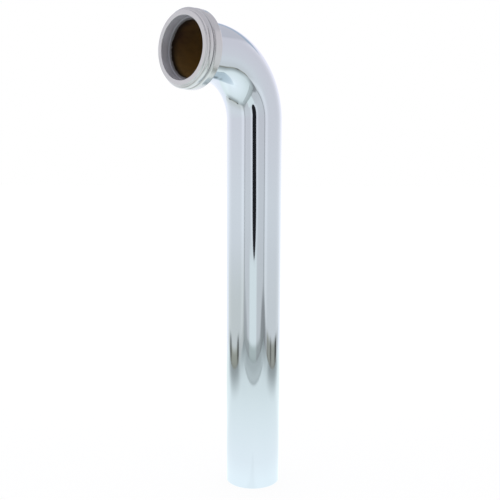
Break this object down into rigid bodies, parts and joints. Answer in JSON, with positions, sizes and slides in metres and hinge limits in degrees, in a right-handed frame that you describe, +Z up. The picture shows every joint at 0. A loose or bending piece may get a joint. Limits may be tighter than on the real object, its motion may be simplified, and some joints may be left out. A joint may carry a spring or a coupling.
{
  "type": "waste bend",
  "caption": "Chrome-plated brass drain tube with a long straight leg, a right-angle bend and a beaded slip socket; it turns waste water from a fixture outlet into the next pipe.",
  "frame": {"origin": "middle of the cut end, on the long leg's axis, in the plane that the part stands on", "axes": "+Z up the long leg towards the bend, -X out of the socket's mouth, Y across the bend's plane"},
  "size_m": [0.0853, 0.0502, 0.3251],
  "materials": {
    "chrome_plate": "bright polished chrome plate on drawn brass, with the brass left raw inside the tube"
  },
  "bodies": {
    "root": {"waste_bend": "chrome_plate"}
  },
  "joints": []
}
